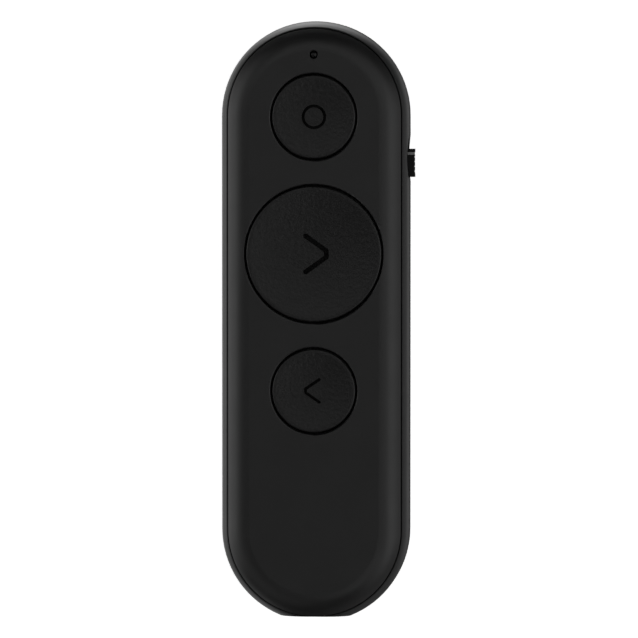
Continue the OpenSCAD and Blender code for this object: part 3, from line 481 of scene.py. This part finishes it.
class CLICKER_OT_laser(Operator):
    """Finishes the pointer laser"""

    bl_idname = "clicker.laser"
    bl_label = "Pointer laser"

    def execute(self, context):
        # Free-cutting brass with fine turning rings
        brass = metal("Turned brass, barrel", "#b8923f", roughness=0.28,
                      along="Z", line_gap=0.08 * MM, line_depth=0.0012 * MM)
        # Gold over nickel: warm, bright and nearly smooth
        gold = metal("Gold plate, diode", "#d3a94a", roughness=0.2,
                     along="Y", line_gap=0.2 * MM, line_depth=0.0006 * MM)
        finish_nodes(brass, "brass", "laser_barrel")
        finish_nodes(gold, "gold", "laser_diode")
        finish_nodes(optical_glass(), "lens", "laser_lens")
        return {"FINISHED"}


# ------------------------------------------------------------------ electronics

def solder_mask(name):
    """Glossy green solder mask over copper: tracks show as slightly raised, lighter lines on a 1.27 mm grid."""
    material, tree, shader, place = start_material(name, srgb("#0f4a2c"), 0.3, IOR=1.55, Coat_Weight=0.4)
    tracks = add_node(tree, "ShaderNodeTexBrick", {
        "Vector": place, "Scale": 1 / (2.54 * MM), "Mortar Size": 0.05, "Mortar Smooth": 0.2,
        "Brick Width": 1.0, "Row Height": 0.5, "Color1": (0, 0, 0, 1), "Color2": (0, 0, 0, 1),
        "Mortar": (1, 1, 1, 1)}, offset=0.35)
    tree.links.new(
        shade(tree, tracks.outputs["Color"], srgb("#0d4428"), srgb("#1c6a42")), shader.inputs["Base Color"])
    relief(tree, shader, tracks.outputs["Color"], depth=0.03 * MM)
    return material


class CLICKER_OT_electronics(Operator):
    """Finishes the board, its parts and the switches"""

    bl_idname = "clicker.electronics"
    bl_label = "Electronics"

    def execute(self, context):
        resin = black_resin()
        # Rolled nickel silver: pale, warm grey, with the faint lines of the rolls
        nickel = metal("Nickel silver, switch covers", "#b7b4ac", roughness=0.26,
                       along="Y", line_gap=0.1 * MM, line_depth=0.0008 * MM)
        # Bare copper: orange-brown, evenly dulled
        copper = metal("Bare copper, aerial", "#b8704a", roughness=0.3,
                       along="X", line_gap=0.1 * MM, line_depth=0.0008 * MM)
        keys = ("pointer_key", "next_key", "back_key")
        finish_nodes(solder_mask("Solder mask, board"), "board", "circuit_board")
        finish_nodes(resin, "black_resin", "radio_chip", "boost_coil", "power_switch_base",
                     *(f"{key}_base" for key in keys))
        finish_nodes(nickel, "nickel", "power_switch_can", "radio_crystal", *(f"{key}_cover" for key in keys))
        finish_nodes(off_white_nylon(), "white_plastic", "power_switch_lever", *(f"{key}_plunger" for key in keys))
        finish_nodes(fired_ceramic(), "ceramic", "chip_capacitors")
        finish_nodes(copper, "copper", "antenna_trace")
        return {"FINISHED"}


# ------------------------------------------------------------------ battery

def printed_film(s):
    """Shrink film printed in one flat blue with a pale band at the positive end: glossy, with the slight ripple
    that shrinking leaves."""
    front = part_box("battery_jacket")[1].y
    material, tree, shader, place = start_material("Printed shrink film", s.film, 0.25, IOR=1.5, Coat_Weight=0.3)
    in_band = add_node(tree, "ShaderNodeMath", {
        0: coordinate(tree, place, "Y"), 1: front - s.band_length}, operation="GREATER_THAN").outputs[0]
    film = shade(tree, uneven(tree, place, 6 * MM), scaled(s.film, 0.92), scaled(s.film, 1.06))
    tree.links.new(overlaid(tree, in_band, film, s.band), shader.inputs["Base Color"])
    ripple = add_node(tree, "ShaderNodeTexNoise", {"Vector": place, "Scale": 1 / (2.2 * MM), "Detail": 1.0})
    relief(tree, shader, ripple.outputs["Fac"], depth=0.02 * MM)
    return material


def spring_mesh(s):
    """Conical spring of round wire, in the room of the CAD spring: wide at the plate and narrow at the cell."""
    low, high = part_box("negative_spring")
    cell_low, cell_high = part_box("battery_can")
    axis_z = (cell_low.z + cell_high.z) / 2
    wire = s.wire_radius
    wide_radius = (high.x - low.x) / 2 - wire
    rings = s.turns * s.turn_steps
    mesh = bmesh.new()
    loops = []
    for i in range(rings + 1):
        t = i / rings
        angle = tau * s.turns * t
        radius = wide_radius + (s.narrow_radius - wide_radius) * t
        centre = Vector((radius * cos(angle), low.y + wire + (high.y - low.y - 2 * wire) * t,
                         axis_z + radius * sin(angle)))
        outward = Vector((cos(angle), 0, sin(angle)))
        loops.append([mesh.verts.new(centre + wire * (outward * cos(b) + Vector((0, 1, 0)) * sin(b)))
                      for b in (tau * k / s.wire_sides for k in range(s.wire_sides))])
    for one, two in zip(loops, loops[1:]):
        for k in range(s.wire_sides):
            mesh.faces.new((one[k - 1], one[k], two[k], two[k - 1]))
    mesh.faces.new(loops[0])
    mesh.faces.new(reversed(loops[-1]))
    bmesh.ops.recalc_face_normals(mesh, faces=mesh.faces)
    data = bpy.data.meshes.new("battery_spring")
    mesh.to_mesh(data)
    mesh.free()
    return data


class CLICKER_OT_battery(Operator):
    """Finishes the cell and its contacts, and makes the spring of round wire"""

    bl_idname = "clicker.battery"
    bl_label = "Battery"

    def execute(self, context):
        s = context.scene.clicker_battery
        # Bright nickel over drawn steel: mirror-like, with faint drawing lines along the can
        can = metal("Nickel-plated steel, cell", "#c4c3be", roughness=0.18,
                    along="Y", line_gap=0.25 * MM, line_depth=0.0006 * MM)
        # Nickel over rolled spring steel: a little duller than the can
        plate = metal("Nickel-plated spring steel", "#bdbbb4", roughness=0.24,
                      along="X", line_gap=0.15 * MM, line_depth=0.0008 * MM)
        finish_nodes(can, "nickel", "battery_can")
        finish_nodes(printed_film(s), "jacket", "battery_jacket")
        finish_nodes(plate, "nickel", "positive_contact", "negative_contact")
        new_piece("battery_spring", spring_mesh(s), plate, "case", ["negative_spring"])
        return {"FINISHED"}


class CLICKER_OT_battery_door(Operator):
    """Finishes the battery door like the cover round it"""

    bl_idname = "clicker.battery_door"
    bl_label = "Battery door"

    def execute(self, context):
        s = context.scene.clicker_covers
        finish_nodes(soft_touch_paint(s, "Soft-touch paint, battery door", tint=1.0), "base", "battery_door")
        return {"FINISHED"}


# ------------------------------------------------------------------ receiver

class CLICKER_OT_receiver(Operator):
    """Finishes the stowed receiver"""

    bl_idname = "clicker.receiver"
    bl_label = "Receiver"

    def execute(self, context):
        covers = context.scene.clicker_covers
        # Stainless shell, stamped and tumbled: faint lines along its length
        steel = metal("Stainless steel, plug", "#b4b6b8", roughness=0.22,
                      along="Y", line_gap=0.12 * MM, line_depth=0.0008 * MM)
        # Gold over nickel on the rubbing faces: bright, with wiping lines along the plug
        gold = metal("Gold plate, contacts", "#d8b052", roughness=0.16,
                     along="Y", line_gap=0.1 * MM, line_depth=0.0004 * MM)
        finish_nodes(soft_touch_paint(covers, "Moulded ABS, receiver", tint=0.85),
                     "receiver_case", "receiver_housing")
        finish_nodes(steel, "nickel", "receiver_plug")
        finish_nodes(gold, "gold", "receiver_contacts")
        finish_nodes(off_white_nylon(), "white_plastic", "receiver_tongue")
        finish_nodes(solder_mask("Solder mask, receiver"), "board", "receiver_board")
        return {"FINISHED"}


# ------------------------------------------------------------------ stage

# Soft glows of the studio: the direction that each comes from, the degrees round it that glow fully, the degrees
# round it where the glow has faded out, and its strength
GLOWS = (
    ((0.15, -0.27, 0.95), 1, 10, 1.75),
    ((0.00, 0.82, -0.57), 4, 28, 1.37),
    ((-0.31, 0.76, -0.57), 4, 28, 1.00),
    ((-0.95, -0.16, -0.26), 4, 28, 0.98),
    ((0.22, 0.09, 0.97), 1, 10, 0.97),
    ((-0.36, 0.12, 0.93), 1, 10, 0.91),
    ((-0.16, 0.69, -0.71), 4, 28, 0.85),
    ((0.64, -0.31, 0.71), 4, 28, 0.77),
    ((-0.95, -0.16, 0.26), 4, 28, 0.74),
    ((-0.95, 0.16, -0.26), 4, 28, 0.73),
    ((0.82, 0.00, 0.57), 4, 28, 0.69),
    ((-0.55, 0.16, -0.82), 4, 28, 0.67),
    ((-0.12, 0.36, 0.93), 2, 17, 0.65),
    ((-0.65, -0.71, -0.26), 4, 28, 0.64),
    ((-0.95, 0.16, 0.26), 4, 28, 0.64),
    ((0.48, 0.31, 0.82), 4, 28, 0.63),
    ((0.16, 0.69, -0.71), 4, 28, 0.59),
    ((-0.38, -0.43, -0.82), 4, 28, 0.59),
    ((-0.76, 0.31, 0.57), 4, 28, 0.50),
    ((-0.82, 0.00, 0.57), 4, 28, 0.48),
    ((0.71, 0.00, -0.71), 4, 28, 0.42),
    ((-0.44, -0.55, 0.71), 4, 28, 0.39),
    ((-0.10, 0.00, 0.99), 1, 10, 0.38),
    ((1.00, 0.00, 0.09), 4, 28, 0.32),
    ((0.59, -0.81, 0.09), 8, 42, 0.27),
    ((0.48, 0.31, -0.82), 4, 28, 0.26),
    ((-0.44, 0.55, -0.71), 8, 42, 0.25),
    ((0.97, 0.00, 0.26), 8, 42, 0.24),
    ((0.58, -0.58, -0.57), 8, 42, 0.20),
    ((0.00, 0.42, 0.91), 4, 28, 0.10),
)


def studio_world(s):
    """World light: a dim room with soft glows."""
    world = bpy.data.worlds.new("Studio")
    bpy.context.scene.world = world
    world.use_nodes = True
    world.cycles.sampling_method = "NONE"
    tree = world.node_tree
    tree.nodes.clear()
    way = add_node(tree, "ShaderNodeTexCoord").outputs["Generated"]
    total = s.room
    for direction, full, faded, strength in GLOWS:
        facing = add_node(tree, "ShaderNodeVectorMath", {
            0: way, 1: Vector(direction).normalized()}, operation="DOT_PRODUCT").outputs["Value"]
        glow = add_node(tree, "ShaderNodeMapRange", {
            "Value": facing, "From Min": cos(radians(faded)), "From Max": cos(radians(full)),
            "To Min": 0, "To Max": strength * s.light}, interpolation_type="SMOOTHSTEP").outputs["Result"]
        total = add_node(tree, "ShaderNodeMath", {0: total, 1: glow}, operation="ADD").outputs[0]
    lamp = add_node(tree, "ShaderNodeBackground", {"Strength": total})
    add_node(tree, "ShaderNodeOutputWorld", {"Surface": lamp.outputs["Background"]})


def painted_board(name, colour, glow):
    """Matt painted board that glows a little from behind, with a barely uneven tone."""
    material, tree, shader, place = start_material(
        name, colour, 0.9, Emission_Color=(1, 1, 1, 1), Emission_Strength=glow)
    tree.links.new(shade(tree, uneven(tree, place, 200 * MM), scaled(colour, 0.98), colour),
                   shader.inputs["Base Color"])
    return material


def stage_piece(name, mesh, material):
    """Links a piece of the stage, which isn't part of the clicker."""
    data = bpy.data.meshes.new(name)
    mesh.to_mesh(data)
    mesh.free()
    data.materials.append(material)
    piece = bpy.data.objects.new(name, data)
    bpy.context.scene.collection.objects.link(piece)
    return piece


def stage_floor(s):
    """Round floor, just under the clicker. Reflections don't show it, so that the glows below light the edges."""
    mesh = bmesh.new()
    bmesh.ops.create_circle(mesh, cap_ends=True, segments=96, radius=s.floor_radius,
                            matrix=Matrix.Translation((0, 0, -s.floor_drop)))
    floor = stage_piece("Floor", mesh, painted_board("Painted board, floor", s.floor, s.floor_glow))
    floor.visible_glossy = False


def stage_backdrop(s):
    """Pale backdrop all round, which only the camera sees."""
    mesh = bmesh.new()
    bmesh.ops.create_uvsphere(mesh, u_segments=64, v_segments=32, radius=s.backdrop_radius)
    bmesh.ops.reverse_faces(mesh, faces=mesh.faces)
    dome = stage_piece("Backdrop", mesh, painted_board("Painted board, backdrop", s.floor, glow=1.0))
    for kind in ("diffuse", "glossy", "transmission", "shadow", "volume_scatter"):
        setattr(dome, f"visible_{kind}", False)


def set_camera(s):
    """Long lens nearly straight above the face, a little to the power switch's side and to the nose."""
    low, high = CAD_BOX
    back = Vector((sin(s.yaw) * cos(s.pitch), sin(s.pitch), cos(s.yaw) * cos(s.pitch)))
    right = Vector((0, 1, 0)).cross(back).normalized()
    up = back.cross(right)
    middle = Vector((0, 0, (low.z + high.z) / 2))
    aim = middle + right * s.aim_x + up * s.aim_y
    camera = bpy.data.cameras.new("Camera")
    camera.lens = camera.sensor_width * s.distance / s.view_width
    camera.clip_end = CLIP_END
    lens = bpy.data.objects.new("Camera", camera)
    lens.matrix_world = (Matrix.Translation(aim + back * s.distance)
                         @ Matrix((right, up, back)).transposed().to_4x4())
    bpy.context.scene.collection.objects.link(lens)
    bpy.context.scene.camera = lens


class CLICKER_OT_stage(Operator):
    """Makes the floor, the backdrop, the light and the camera"""

    bl_idname = "clicker.stage"
    bl_label = "Stage"

    def execute(self, context):
        s = context.scene.clicker_studio
        studio_world(s)
        stage_floor(s)
        stage_backdrop(s)
        set_camera(s)
        view = context.scene.view_settings
        view.view_transform = "Standard"
        view.look = "None"
        return {"FINISHED"}


# ------------------------------------------------------------------ panel and start

OPERATORS = (
    CLICKER_OT_covers, CLICKER_OT_buttons, CLICKER_OT_power_knob, CLICKER_OT_status_light, CLICKER_OT_screws,
    CLICKER_OT_laser, CLICKER_OT_electronics, CLICKER_OT_battery, CLICKER_OT_battery_door, CLICKER_OT_receiver,
    CLICKER_OT_stage,
)
SETTINGS = {
    "clicker_covers": CoverSettings,
    "clicker_buttons": ButtonSettings,
    "clicker_knob": KnobSettings,
    "clicker_battery": BatterySettings,
    "clicker_studio": StudioSettings,
}


class CLICKER_PT_pieces(Panel):
    """Lists the clicker's pieces and settings"""

    bl_idname = "CLICKER_PT_pieces"
    bl_label = "Presentation clicker"
    bl_space_type = "VIEW_3D"
    bl_region_type = "UI"
    bl_category = "Clicker"

    def draw(self, context):
        for operator in OPERATORS:
            self.layout.operator(operator.bl_idname)
        for name, group in SETTINGS.items():
            box = self.layout.box()
            box.label(text=group.__doc__)
            for setting in group.__annotations__:
                box.prop(getattr(context.scene, name), setting)


def register():
    for group in SETTINGS.values():
        bpy.utils.register_class(group)
    for name, group in SETTINGS.items():
        setattr(bpy.types.Scene, name, PointerProperty(type=group))
    for kind in (*OPERATORS, CLICKER_PT_pieces):
        bpy.utils.register_class(kind)


def unregister():
    for kind in reversed((*OPERATORS, CLICKER_PT_pieces)):
        bpy.utils.unregister_class(kind)
    for name, group in reversed(SETTINGS.items()):
        delattr(bpy.types.Scene, name)
        bpy.utils.unregister_class(group)


def main():
    register()
    for operator in OPERATORS:
        group, name = operator.bl_idname.split(".")
        getattr(getattr(bpy.ops, group), name)()
    bpy.context.view_layer.update()


if __name__ == "__main__":
    main()
